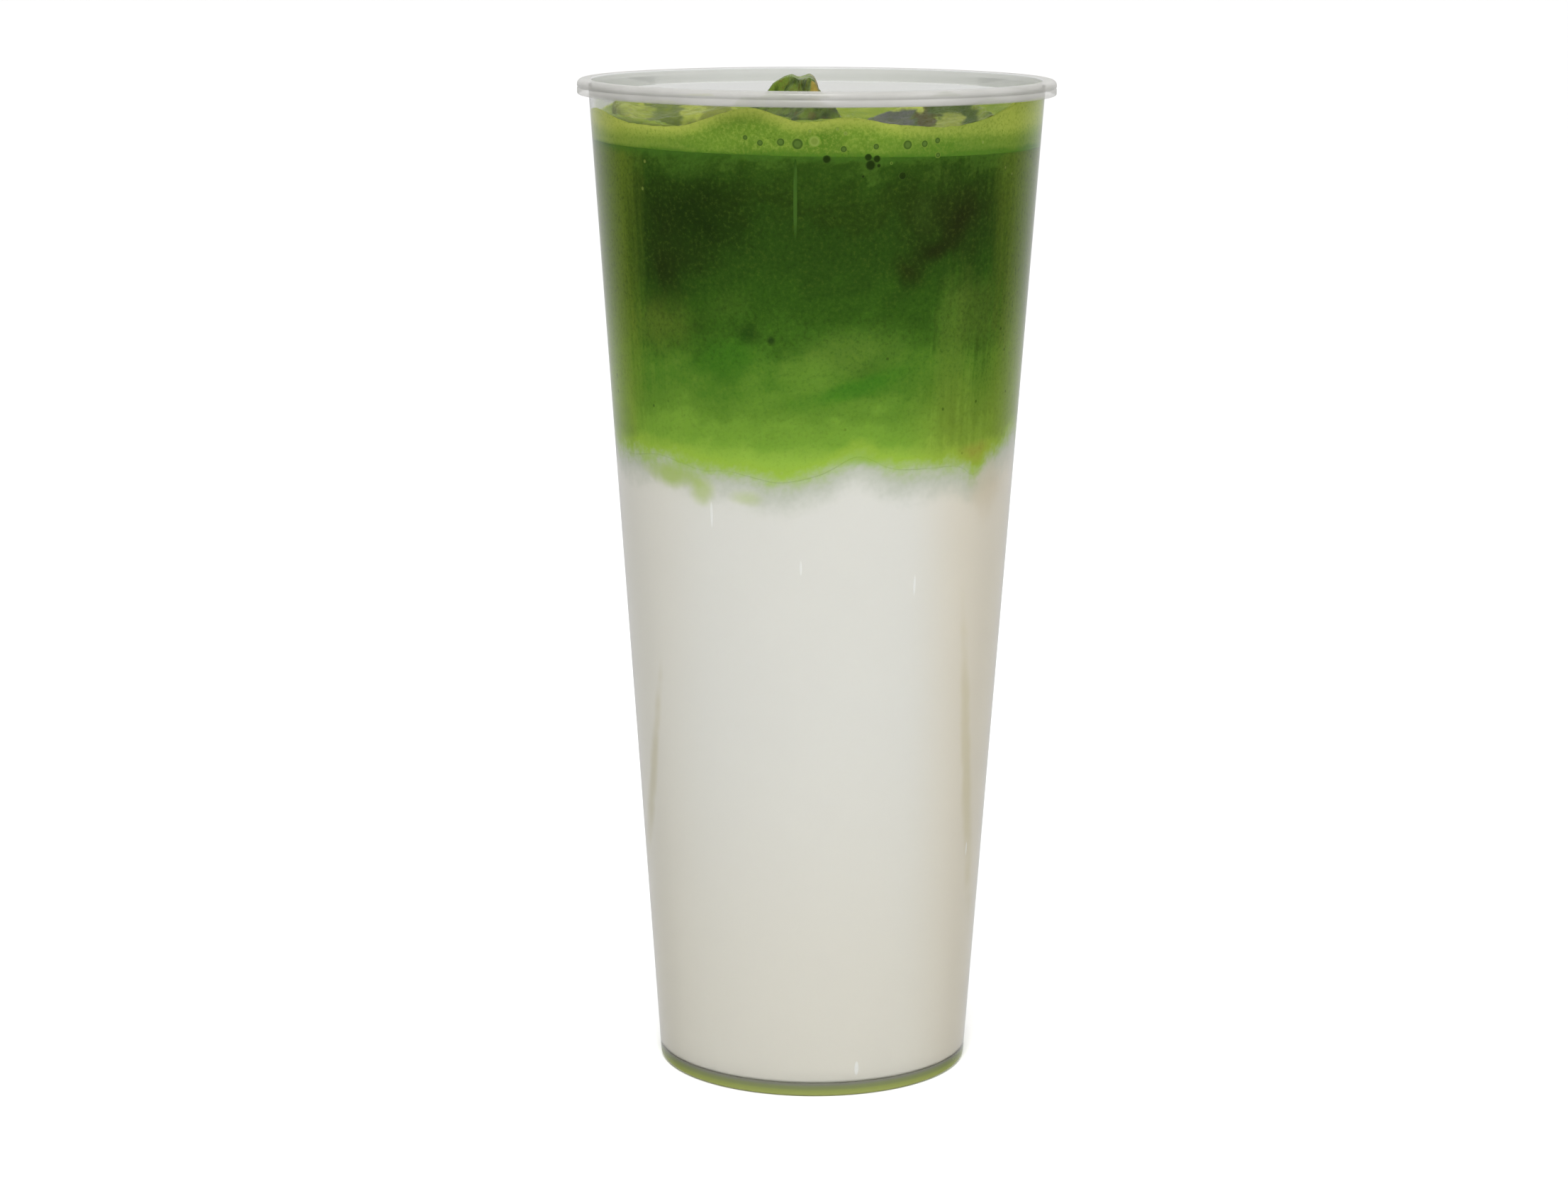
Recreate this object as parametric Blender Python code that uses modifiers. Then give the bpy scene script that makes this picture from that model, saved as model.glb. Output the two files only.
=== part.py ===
"""Iced matcha latte in a tall clear plastic cup, in metres, +Z up, standing on z = 0.

The cup is a turned shell with a rolled rim and a recessed base. Inside it stand three
layers that meet in uneven surfaces: milk, matcha and a froth. Ice cubes float at the top,
each in a pocket of the froth and the matcha.
"""

import math
import random

import bmesh
import bpy
from mathutils import Euler, Vector

# Cup
CUP_HEIGHT = 0.190
RIM_RADIUS = 0.045
RIM_DEPTH = 0.0028
RIM_ROUND = 0.0009
SKIRT = 0.0007
WALL = 0.0007
WALL_TOP_RADIUS = 0.0428
WALL_FOOT_RADIUS = 0.0297
FOOT_ROUND = 0.0008
FOOT_WIDTH = 0.0013
FOOT_RECESS = 0.0016
FOOT_SLOPE = 0.0003
BASE_THICKNESS = 0.0011
INNER_CORNER = 0.0016
GATE_RADIUS = 0.0020
GATE_DROP = 0.0005

# Contents
CLEARANCE = 0.0003
POCKET_GAP = 0.00036
MILK_TOP = 0.1210
MATCHA_TOP = 0.1784
MATCHA_TILT = 0.0006
FROTH_TOP = 0.1830
CLIMB_REACH = 0.0050
RIPPLE = 0.0003
TURN_STEPS = 64
MILK_RINGS = 7
FROTH_RINGS = 11
SETTLE_ROUNDS = 4

# A bump raises or lowers a surface beside the wall: azimuth from the front and spread, in
# degrees, with the right-hand side positive, and height in metres.
FROTH_BUMPS = (
    (-16, 10, 0.0038),
    (-27, 7, 0.0009),
    (8, 11, 0.0023),
    (24, 6, 0.0004),
    (80, 15, 0.0013),
    (128, 20, 0.0020),
    (186, 24, 0.0009),
    (-124, 22, 0.0022),
    (-72, 12, 0.0009),
)
MILK_BUMPS = (
    (-50, 10, 0.0013),
    (-33, 5, -0.0006),
    (-10, 11, -0.0019),
    (12, 7, 0.0030),
    (51, 5, -0.0024),
    (75, 12, 0.0034),
    (122, 22, -0.0022),
    (168, 17, 0.0026),
    (-142, 20, -0.0018),
    (-95, 15, 0.0022),
)

# Ice cubes: side, centre (x, y, z) and turn (x, y, z in degrees)
ICE = (
    (0.0190, (-0.0262, -0.0080, 0.1768), (10, -6, 14)),
    (0.0195, (0.0218, -0.0085, 0.1750), (9, -13, 22)),
    (0.0205, (-0.0032, 0.0122, 0.1749), (14, -37, 6)),
    (0.0150, (-0.0262, 0.0195, 0.1768), (-12, 6, 55)),
    (0.0150, (0.0246, 0.0184, 0.1768), (10, 12, 37)),
)
ICE_CORNER_PLAY = 0.0011
ICE_SEED = 11
# Shares of a cube's side
ICE_ROUND = 0.14
DIMPLE_EDGE = 0.24
DIMPLE_DEPTH = 0.10


def wall_radius(z):
    """Outer radius of the conical wall at height z."""
    share = z / (CUP_HEIGHT - RIM_DEPTH)
    return WALL_FOOT_RADIUS + (WALL_TOP_RADIUS - WALL_FOOT_RADIUS) * share


def clear_radius(z):
    """Radius that the contents keep to at height z."""
    return wall_radius(z) - WALL - CLEARANCE


def arc(centre, radius, start, end, steps):
    """Points of a circular arc in the profile plane, from start to end in degrees."""
    points = []
    for i in range(steps + 1):
        angle = math.radians(start + (end - start) * i / steps)
        points.append((centre[0] + radius * math.cos(angle), centre[1] + radius * math.sin(angle)))
    return points


def material(name, colour, roughness, alpha=1.0):
    """Principled material of one colour."""
    made = bpy.data.materials.new(name)
    made.use_nodes = True
    shader = made.node_tree.nodes["Principled BSDF"]
    shader.inputs["Base Color"].default_value = (*colour, 1.0)
    shader.inputs["Roughness"].default_value = roughness
    shader.inputs["Metallic"].default_value = 0.0
    shader.inputs["Alpha"].default_value = alpha
    return made


def collection(name):
    """New collection in the scene."""
    made = bpy.data.collections.new(name)
    bpy.context.scene.collection.children.link(made)
    return made


def turned(name, profile):
    """Mesh turned round Z from a profile at +X that starts and ends on the axis."""
    line = bpy.data.meshes.new(name + "_profile")
    edges = [(i, i + 1) for i in range(len(profile) - 1)]
    line.from_pydata([(x, 0.0, z) for x, z in profile], edges, [])
    helper = bpy.data.objects.new(name + "_profile", line)
    bpy.context.scene.collection.objects.link(helper)
    screw = helper.modifiers.new("turn", "SCREW")
    screw.axis = "Z"
    screw.steps = screw.render_steps = TURN_STEPS
    screw.use_merge_vertices = True
    screw.merge_threshold = 0.00001
    screw.use_smooth_shade = True
    graph = bpy.context.evaluated_depsgraph_get()
    mesh = bpy.data.meshes.new_from_object(helper.evaluated_get(graph))
    mesh.name = name
    bpy.data.objects.remove(helper)
    bpy.data.meshes.remove(line)
    return mesh


def add(name, mesh, group, finish):
    """Object of a mesh, in a collection, with its material."""
    made = bpy.data.objects.new(name, mesh)
    mesh.materials.clear()
    mesh.materials.append(finish)
    group.objects.link(made)
    return made


def cup_profile():
    """The cup's section, from the floor's centre up the inside, over the rim and under the base."""
    floor = FOOT_RECESS + BASE_THICKNESS
    bore = wall_radius(floor + INNER_CORNER) - WALL
    corner = arc((bore - INNER_CORNER, floor + INNER_CORNER), INNER_CORNER, -90, 0, 3)
    mouth = wall_radius(CUP_HEIGHT) - WALL
    lip = WALL / 2
    inner_lip = arc((mouth + lip, CUP_HEIGHT - lip), lip, 180, 90, 2)
    outer_lip = arc((RIM_RADIUS - RIM_ROUND, CUP_HEIGHT - RIM_ROUND), RIM_ROUND, 90, 0, 3)
    hem = SKIRT / 2
    skirt = arc((RIM_RADIUS - hem, CUP_HEIGHT - RIM_DEPTH + hem), hem, 0, -180, 2)
    under_rim = CUP_HEIGHT - SKIRT
    heel = wall_radius(FOOT_ROUND)
    foot = arc((heel - FOOT_ROUND, FOOT_ROUND), FOOT_ROUND, 0, -90, 3)
    step = heel - FOOT_ROUND - FOOT_WIDTH
    return [
        (0.0, floor),
        *corner,
        *inner_lip,
        *outer_lip,
        *skirt,
        (RIM_RADIUS - SKIRT, under_rim),
        (wall_radius(under_rim), under_rim),
        *foot,
        (step, 0.0),
        (step - FOOT_SLOPE, FOOT_RECESS),
        (GATE_RADIUS, FOOT_RECESS),
        (GATE_RADIUS, FOOT_RECESS - GATE_DROP),
        (0.0, FOOT_RECESS - GATE_DROP),
    ]


def azimuth(x, y):
    """Azimuth in degrees, 0 at the front (-Y) and positive towards +X."""
    return math.degrees(math.atan2(x, -y))


def bumps(table, x, y):
    """Height that a table of bumps adds beside the wall at this azimuth."""
    here = azimuth(x, y)
    height = 0.0
    for centre, spread, rise in table:
        away = (here - centre + 180) % 360 - 180
        height += rise * math.exp(-((away / spread) ** 2))
    return height


def near_wall(x, y, level):
    """1 at the wall, falling towards the axis."""
    return math.exp(-(clear_radius(level) - math.hypot(x, y)) / CLIMB_REACH)


def milk_floor(_x, _y):
    """Bottom of the milk, on the cup's floor."""
    return FOOT_RECESS + BASE_THICKNESS + CLEARANCE


def milk_surface(x, y):
    """Top of the milk: it swells and dips beside the wall and is calm in the middle."""
    calm = 2 * RIPPLE * math.sin(x / 0.011) * math.cos(y / 0.013)
    share = min(1.0, math.hypot(x, y) / clear_radius(MILK_TOP))
    return MILK_TOP + calm * (1 - share) + bumps(MILK_BUMPS, x, y) * share**2


def matcha_surface(x, y):
    """Top of the matcha, which is nearly flat and stands a little higher on the left."""
    return MATCHA_TOP - MATCHA_TILT * x / WALL_TOP_RADIUS


def froth_surface(x, y):
    """Top of the froth: rippled in the middle, it climbs the wall in soft humps."""
    climb = near_wall(x, y, FROTH_TOP)
    ripple = RIPPLE * (math.sin(x / 0.0060 + 0.8) + math.sin(y / 0.0070 - 0.5))
    return FROTH_TOP + ripple * (1 - climb) + bumps(FROTH_BUMPS, x, y) * climb


def layer(name, bottom, top, rings_above, rings_below=1, foot_round=0.0):
    """Mesh that fills the cup between two surfaces, given as functions of x and y.

    It starts as a drum of radius 1 and height 1, turned from its profile. Each point then
    goes to its share of the radius and of the height.
    """
    low, high = bottom(0.0, 0.0), top(0.0, 0.0)
    profile = [(ring / rings_above, 1.0) for ring in range(rings_above + 1)]
    if foot_round:
        across, up = foot_round / clear_radius(low), foot_round / (high - low)
        profile += [(1 + across * (x - 1), up * (1 + z)) for x, z in arc((0, 0), 1, 0, -90, 3)]
        profile += [(0.0, 0.0)]
    else:
        profile += [(ring / rings_below, 0.0) for ring in range(rings_below, -1, -1)]
    mesh = turned(name, profile)
    for vertex in mesh.vertices:
        across, up = Vector(vertex.co.xy), vertex.co.z
        height = low + up * (high - low)
        # The wall leans, so height and radius settle together.
        for _ in range(SETTLE_ROUNDS):
            place = across * clear_radius(height)
            height = bottom(*place) + up * (top(*place) - bottom(*place))
        vertex.co = (place.x, place.y, height)
    return mesh


def ice_mesh(name, side, seed):
    """Cube with a shallow dimple in its top, its corners pushed about by melting."""
    draw = random.Random(seed)
    cage = bmesh.new()
    bmesh.ops.create_cube(cage, size=side)
    for vertex in cage.verts:
        vertex.co += Vector([draw.uniform(-ICE_CORNER_PLAY, ICE_CORNER_PLAY) for _ in range(3)])
    top = max(cage.faces, key=lambda face: face.calc_center_median().z)
    bmesh.ops.inset_region(cage, faces=[top], thickness=side * DIMPLE_EDGE)
    bmesh.ops.translate(cage, verts=top.verts, vec=(0, 0, -side * DIMPLE_DEPTH))
    for face in cage.faces:
        face.smooth = True
    mesh = bpy.data.meshes.new(name)
    cage.to_mesh(mesh)
    cage.free()
    return mesh


def float_cube(cube, side, centre, turn):
    """Rounds a cube's edges and puts it where it floats."""
    bevel = cube.modifiers.new("edges", "BEVEL")
    bevel.width = ICE_ROUND * side
    bevel.segments = 3
    bevel.limit_method = "ANGLE"
    # The skewed sides split into triangles in the same way on a cube and on its cutter.
    cube.modifiers.new("facets", "TRIANGULATE")
    cube.location = centre
    cube.rotation_euler = Euler([math.radians(angle) for angle in turn])


def add_ice(group, cutters, finish):
    """The ice cubes, each with a cutter that is larger by the clearance."""
    for index, (side, centre, turn) in enumerate(ICE, 1):
        name = f"ice_{index}"
        mesh = ice_mesh(name, side, ICE_SEED + index)
        float_cube(add(name, mesh, group, finish), side, centre, turn)
        cutter = add(name + "_cutter", mesh, cutters, finish)
        float_cube(cutter, side, centre, turn)
        grow = cutter.modifiers.new("clearance", "DISPLACE")
        grow.mid_level = 0.0
        grow.strength = POCKET_GAP
        cutter.hide_render = True
        cutter.display_type = "WIRE"


def cut_pockets(body, cutters):
    """Cuts the pockets that the ice floats in."""
    for cutter in cutters.objects:
        pocket = body.modifiers.new("pocket_" + cutter.name, "BOOLEAN")
        pocket.operation = "DIFFERENCE"
        pocket.solver = "EXACT"
        pocket.object = cutter


def above(surface):
    """The surface that keeps the clearance above another one."""
    return lambda x, y: surface(x, y) + CLEARANCE


def main():
    """Builds the cup, its layers and the ice."""
    for thing in list(bpy.data.objects):
        bpy.data.objects.remove(thing)
    group = collection("iced_matcha_latte")
    cutters = collection("ice_cutters")
    plastic = material("clear_plastic", (0.86, 0.88, 0.87), 0.12, alpha=0.35)
    milk_finish = material("milk", (0.80, 0.79, 0.73), 0.35)
    matcha_finish = material("matcha", (0.07, 0.19, 0.02), 0.35)
    froth_finish = material("froth", (0.27, 0.41, 0.07), 0.65)
    ice_finish = material("ice", (0.46, 0.56, 0.30), 0.10, alpha=0.80)

    add("cup", turned("cup", cup_profile()), group, plastic)
    milk = layer("milk", milk_floor, milk_surface, MILK_RINGS, foot_round=INNER_CORNER)
    matcha = layer("matcha", above(milk_surface), matcha_surface, 1, MILK_RINGS)
    froth = layer("froth", above(matcha_surface), froth_surface, FROTH_RINGS)
    add("milk", milk, group, milk_finish)
    add_ice(group, cutters, ice_finish)
    cut_pockets(add("matcha", matcha, group, matcha_finish), cutters)
    cut_pockets(add("froth", froth, group, froth_finish), cutters)


main()
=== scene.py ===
"""Looks of an iced matcha latte in a tall clear plastic cup.

Each sub-assembly is a class that holds its sizes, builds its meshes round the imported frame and
dresses them. Lengths are in metres unless a name ends in _mm or a class says millimetres, and -Y
faces the viewer.
"""

import logging
import math
import random
from dataclasses import dataclass
from enum import Enum, IntEnum
from functools import partial, reduce
from typing import Callable, Iterable, Sequence, Union

import bmesh
import bpy
from mathutils import Matrix, Vector, noise
from mathutils.bvhtree import BVHTree


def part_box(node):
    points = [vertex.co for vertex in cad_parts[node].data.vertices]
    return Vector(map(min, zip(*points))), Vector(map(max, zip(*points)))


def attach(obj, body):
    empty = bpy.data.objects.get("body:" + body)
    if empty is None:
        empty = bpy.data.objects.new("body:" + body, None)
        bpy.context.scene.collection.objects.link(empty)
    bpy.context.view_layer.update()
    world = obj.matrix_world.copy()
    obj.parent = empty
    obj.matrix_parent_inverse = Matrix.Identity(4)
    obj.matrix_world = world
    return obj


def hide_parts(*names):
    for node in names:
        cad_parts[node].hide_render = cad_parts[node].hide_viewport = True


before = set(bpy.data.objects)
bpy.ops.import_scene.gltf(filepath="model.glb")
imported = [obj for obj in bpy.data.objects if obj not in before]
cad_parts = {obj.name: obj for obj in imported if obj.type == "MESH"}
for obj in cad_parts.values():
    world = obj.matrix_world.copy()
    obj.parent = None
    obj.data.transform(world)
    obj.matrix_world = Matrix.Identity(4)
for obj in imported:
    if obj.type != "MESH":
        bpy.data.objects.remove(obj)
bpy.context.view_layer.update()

LOG = logging.getLogger("latte")
MM = 0.001
WELD = 1e-6
BODY = "root"

Colour = tuple[float, float, float, float]
Point = tuple[float, float]
Span = tuple[float, float]
Surface = Callable[[float, float], float]
Socket = bpy.types.NodeSocket
Input = Union[float, Sequence[float], Socket]


def tone(red: int, green: int, blue: int) -> Colour:
    """Linear colour of a tone given on the usual 0 to 255 scale.

    Args:
        red: Level of red.
        green: Level of green.
        blue: Level of blue.

    Returns:
        The colour, opaque.
    """
    def linear(level: int) -> float:
        """One channel's linear value."""
        share = level / 255
        return share / 12.92 if share <= 0.04045 else ((share + 0.055) / 1.055) ** 2.4

    return (linear(red), linear(green), linear(blue), 1.0)


# Form that the looks share with the solids


@dataclass(frozen=True)
class CupForm:
    """Sizes of the cup's section."""

    height: float
    rim_radius: float
    rim_depth: float = 2.8 * MM
    rim_round: float = 0.9 * MM
    skirt: float = 0.7 * MM
    wall: float = 0.7 * MM
    wall_top: float = 42.8 * MM
    wall_foot: float = 29.7 * MM
    foot_round: float = 0.8 * MM
    foot_width: float = 1.3 * MM
    foot_recess: float = 1.6 * MM
    foot_slope: float = 0.3 * MM
    base: float = 1.1 * MM
    corner: float = 1.6 * MM
    gate_radius: float = 2.0 * MM
    gate_drop: float = 0.5 * MM

    @property
    def floor(self) -> float:
        """Height of the cup's inner floor."""
        return self.foot_recess + self.base

    def wall_radius(self, z: float) -> float:
        """Outer radius of the tapered wall at a height."""
        share = z / (self.height - self.rim_depth)
        return self.wall_foot + (self.wall_top - self.wall_foot) * share

    def bore_radius(self, z: float) -> float:
        """Inner radius of the wall at a height."""
        return self.wall_radius(z) - self.wall

    def fill_radius(self, z: float) -> float:
        """Radius that the drink reaches, halfway into the wall, at a height."""
        return self.wall_radius(z) - self.wall / 2


@dataclass(frozen=True)
class Bump:
    """A swell or a dip of a surface beside the wall, with its azimuth and spread in degrees."""

    azimuth: float
    spread: float
    rise_mm: float

    def height(self, azimuth: float) -> float:
        """Height that the bump adds at an azimuth in degrees."""
        away = (azimuth - self.azimuth + 180) % 360 - 180
        return self.rise_mm * MM * math.exp(-((away / self.spread) ** 2))


def swell(bumps: Iterable[Bump], x: float, y: float) -> float:
    """Sum of the bumps at the azimuth of a point, 0 at the front and positive to +X."""
    azimuth = math.degrees(math.atan2(x, -y))
    return sum(bump.height(azimuth) for bump in bumps)


@dataclass(frozen=True)
class Levels:
    """The surfaces between the layers, as functions of x and y."""

    form: CupForm
    milk_top: float = 121.0 * MM
    matcha_top: float = 178.4 * MM
    matcha_tilt: float = 0.6 * MM
    froth_top: float = 183.0 * MM
    climb_reach: float = 5.0 * MM
    ripple: float = 0.3 * MM
    milk_waves: Span = (11.0 * MM, 13.0 * MM)
    froth_waves: Span = (6.0 * MM, 7.0 * MM)
    froth_phases: Span = (0.8, -0.5)
    clearance: float = 0.3 * MM
    froth_bumps: tuple[Bump, ...] = (
        Bump(-16, 10, 3.8),
        Bump(-27, 7, 0.9),
        Bump(8, 11, 2.3),
        Bump(24, 6, 0.4),
        Bump(80, 15, 1.3),
        Bump(128, 20, 2.0),
        Bump(186, 24, 0.9),
        Bump(-124, 22, 2.2),
        Bump(-72, 12, 0.9),
    )
    milk_bumps: tuple[Bump, ...] = (
        Bump(-50, 10, 1.3),
        Bump(-33, 5, -0.6),
        Bump(-10, 11, -1.9),
        Bump(12, 7, 3.0),
        Bump(51, 5, -2.4),
        Bump(75, 12, 3.4),
        Bump(122, 22, -2.2),
        Bump(168, 17, 2.6),
        Bump(-142, 20, -1.8),
        Bump(-95, 15, 2.2),
    )

    def _clear(self, z: float) -> float:
        """Radius that the solids of the drink keep to."""
        return self.form.bore_radius(z) - self.clearance

    def floor(self, _x: float, _y: float) -> float:
        """Bottom of the milk, a little way into the cup's floor."""
        return self.form.floor - self.form.base / 3

    def milk(self, x: float, y: float) -> float:
        """Top of the milk, which swells and dips beside the wall and is calm in the middle.

        Args:
            x: Place across.
            y: Place in depth.

        Returns:
            The height.
        """
        wave_x, wave_y = self.milk_waves
        calm = 2 * self.ripple * math.sin(x / wave_x) * math.cos(y / wave_y)
        share = min(1.0, math.hypot(x, y) / self._clear(self.milk_top))
        return self.milk_top + calm * (1 - share) + swell(self.milk_bumps, x, y) * share**2

    def matcha(self, x: float, _y: float) -> float:
        """Top of the matcha, a little higher on the left."""
        return self.matcha_top - self.matcha_tilt * x / self.form.wall_top

    def froth(self, x: float, y: float) -> float:
        """Top of the froth, which is rippled in the middle and climbs the wall in soft humps.

        Args:
            x: Place across.
            y: Place in depth.

        Returns:
            The height.
        """
        gap = max(0.0, self._clear(self.froth_top) - math.hypot(x, y))
        climb = math.exp(-gap / self.climb_reach)
        waves = zip((x, y), self.froth_waves, self.froth_phases)
        ripple = self.ripple * sum(math.sin(way / wave + phase) for way, wave, phase in waves)
        return self.froth_top + ripple * (1 - climb) + swell(self.froth_bumps, x, y) * climb


# Modelling helpers


def arc(centre: Point, radius: float, start: float, end: float, steps: int) -> list[Point]:
    """Points of an arc in the profile plane.

    Args:
        centre: Centre as radius and height.
        radius: Radius of the arc.
        start: First angle in degrees, 0 pointing outwards and 90 up.
        end: Last angle in degrees.
        steps: Number of chords.

    Returns:
        The points from start to end.
    """
    angles = [math.radians(start + (end - start) * i / steps) for i in range(steps + 1)]
    return [(centre[0] + radius * math.cos(a), centre[1] + radius * math.sin(a)) for a in angles]


def held(profile: Sequence[Point], hold: float = 0.25 * MM) -> list[Point]:
    """Adds a point near both ends of each long straight, so that smooth shading keeps it straight.

    Args:
        profile: Points as radius and height.
        hold: Distance of the new points from the ends.

    Returns:
        The profile with the new points.
    """
    points = [profile[0]]
    for start, end in zip(profile, profile[1:]):
        length = math.dist(start, end)
        if length > 4 * hold:
            for share in (hold / length, 1 - hold / length):
                points.append(tuple(a + (b - a) * share for a, b in zip(start, end)))
        points.append(end)
    return points


def turned(profile: Sequence[Point], steps: int) -> bmesh.types.BMesh:
    """Spins a profile round Z into a closed body.

    Args:
        profile: Points as radius and height, from the axis and back to it.
        steps: Number of segments of the turn.

    Returns:
        The body, its poles welded and its faces pointing outwards.
    """
    body = bmesh.new()
    line = [body.verts.new((radius, 0.0, height)) for radius, height in profile]
    edges = [body.edges.new(pair) for pair in zip(line, line[1:])]
    bmesh.ops.spin(
        body, geom=line + edges, cent=(0, 0, 0), axis=(0, 0, 1),
        angle=math.tau, steps=steps, use_merge=True,
    )
    bmesh.ops.remove_doubles(body, verts=body.verts, dist=WELD)
    bmesh.ops.recalc_face_normals(body, faces=body.faces)
    return body


def worn(body: bmesh.types.BMesh, factor: float) -> None:
    """Smooths all of a shape once."""
    bmesh.ops.smooth_vert(
        body, verts=body.verts, factor=factor, use_axis_x=True, use_axis_y=True, use_axis_z=True
    )


def lumpy(place: Vector, size: float, layers: int) -> float:
    """Noise about zero with lumps of a given size and some finer layers."""
    return noise.fractal(place / size, 1.0, 2.0, layers)


def mesh_of(name: str, body: bmesh.types.BMesh) -> bpy.types.Mesh:
    """Turns a bmesh into a mesh and frees it.

    Args:
        name: The mesh's name.
        body: The shape.

    Returns:
        The mesh.
    """
    mesh = bpy.data.meshes.new(name)
    body.to_mesh(mesh)
    body.free()
    return mesh


def linked(name: str, data: bpy.types.ID) -> bpy.types.Object:
    """Puts data into the scene as an object.

    Args:
        name: The object's name.
        data: Its mesh, light or camera.

    Returns:
        The object.
    """
    made = bpy.data.objects.new(name, data)
    bpy.context.scene.collection.objects.link(made)
    return made


def piece(name: str, body: bmesh.types.BMesh, material: bpy.types.Material) -> bpy.types.Object:
    """Turns a bmesh into a smooth piece of the object that rides on its body.

    Args:
        name: The piece's name.
        body: The shape, in its place.
        material: The finish.

    Returns:
        The new object.
    """
    mesh = mesh_of(name, body)
    mesh.shade_smooth()
    mesh.materials.append(material)
    made = linked(name, mesh)
    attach(made, BODY)
    return made


def store(made: bpy.types.Object, name: str, values: Sequence[float]) -> None:
    """Keeps one value for each point of a piece as an attribute."""
    made.data.attributes.new(name, "FLOAT", "POINT").data.foreach_set("value", values)


def faces_of(pieces: Iterable[bpy.types.Object]) -> BVHTree:
    """Gathers the faces of some pieces for finding the nearest of them.

    Args:
        pieces: The pieces.

    Returns:
        The tree of their faces.
    """
    gathered = bmesh.new()
    for made in pieces:
        gathered.from_mesh(made.data)
    tree = BVHTree.FromBMesh(gathered)
    gathered.free()
    return tree


# Node helper


class Graph:
    """The nodes of a material or of the world, with a short call for each kind in use."""

    def __init__(self, owner: Union[bpy.types.Material, bpy.types.World]) -> None:
        """Starts on the nodes that a new material or world has.

        Args:
            owner: The material or the world.
        """
        owner.use_nodes = True
        self.owner = owner
        self.nodes = owner.node_tree.nodes
        self.links = owner.node_tree.links

    def put(self, socket: Socket, value: Input) -> None:
        """Sets an input to a constant or links it.

        Args:
            socket: The input.
            value: A constant or an output.
        """
        if isinstance(value, Socket):
            self.links.new(value, socket)
        else:
            socket.default_value = value

    def add(self, kind: str, inputs: dict[Union[int, str], Input], **settings: str) -> bpy.types.Node:
        """Adds a node.

        Args:
            kind: Its type, less the word that all shader nodes start with.
            inputs: What goes into it, by the input's name or number.
            settings: Its properties.

        Returns:
            The node.
        """
        node = self.nodes.new("ShaderNode" + kind)
        for name, value in settings.items():
            setattr(node, name, value)
        for name, value in inputs.items():
            self.put(node.inputs[name], value)
        return node

    def surface(self, **values: Input) -> bpy.types.Material:
        """Sets inputs of the Principled shader, with _ for each space in a name.

        Args:
            values: The inputs.

        Returns:
            The finished material.
        """
        for name, value in values.items():
            self.put(self.nodes["Principled BSDF"].inputs[name.replace("_", " ")], value)
        return self.owner

    def place(self) -> Socket:
        """Object coordinates."""
        return self.add("TexCoord", {}).outputs["Object"]

    def axes(self, vector: Input, unit: float = MM) -> list[Socket]:
        """The three parts of a vector, in millimetres or in another unit."""
        return [self.math("DIVIDE", part, unit) for part in self.add("SeparateXYZ", {0: vector}).outputs]

    def mapped(self, vector: Input, scale: Sequence[float] = (1, 1, 1), lean: float = 0.0) -> Socket:
        """A vector scaled along each axis, or leant about Y by some degrees."""
        inputs = {"Vector": vector, "Rotation": (0.0, math.radians(lean), 0.0), "Scale": scale}
        return self.add("Mapping", inputs).outputs[0]

    def noise(
        self, vector: Input, size_mm: float, detail: float = 3.0, roughness: float = 0.5,
        distortion: float = 0.0,
    ) -> Socket:
        """Cloudy noise from 0 to 1.

        Args:
            vector: Where it is read.
            size_mm: Size of its lumps.
            detail: Number of finer layers.
            roughness: How strong the finer layers are.
            distortion: How much the lumps are drawn about.

        Returns:
            The noise.
        """
        inputs = {"Scale": 1 / (size_mm * MM), "Detail": detail, "Roughness": roughness}
        cloud = self.add("TexNoise", {"Vector": vector, "Distortion": distortion, **inputs})
        return cloud.outputs["Fac"]

    def cells(self, vector: Input, size_mm: float) -> Socket:
        """Distance to the nearest of scattered points, whose spacing is given."""
        return self.add("TexVoronoi", {"Vector": vector, "Scale": 1 / (size_mm * MM)}).outputs["Distance"]

    def math(self, operation: str, a: Input, b: Input = 0.0) -> Socket:
        """Result of an operation on two values."""
        return self.add("Math", {0: a, 1: b}, operation=operation).outputs[0]

    def total(self, *terms: Input) -> Socket:
        """Sum of some values."""
        return reduce(partial(self.math, "ADD"), terms)

    def product(self, *factors: Input) -> Socket:
        """Product of some values."""
        return reduce(partial(self.math, "MULTIPLY"), factors)

    def sway(self, pattern: Input, reach: Input) -> Socket:
        """A pattern from 0 to 1 turned into a shift to both sides, whose whole reach is given."""
        return self.product(self.math("SUBTRACT", pattern, 0.5), reach)

    def step(self, value: Input, low: float, high: float, to: Span = (0.0, 1.0)) -> Socket:
        """Smooth step over a span.

        Args:
            value: What is stepped.
            low: Where the step starts.
            high: Where it ends, which may be under low.
            to: Results at both ends and past them.

        Returns:
            The step.
        """
        inputs = {"Value": value, "From Min": low, "From Max": high, "To Min": to[0], "To Max": to[1]}
        return self.add("MapRange", inputs, interpolation_type="SMOOTHSTEP").outputs["Result"]

    def mix(self, share: Input, first: Input, second: Input, kind: str = "RGBA") -> Socket:
        """Blend of two colours, or of two values where the kind is FLOAT."""
        return self.add("Mix", {"Factor": share, "A": first, "B": second}, data_type=kind).outputs["Result"]

    def washed(self, colour: Input, washes: Iterable[tuple[Input, Input]]) -> Socket:
        """A colour with others laid over it in turn, each by its share."""
        return reduce(lambda under, wash: self.mix(wash[0], under, wash[1]), washes, colour)

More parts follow.
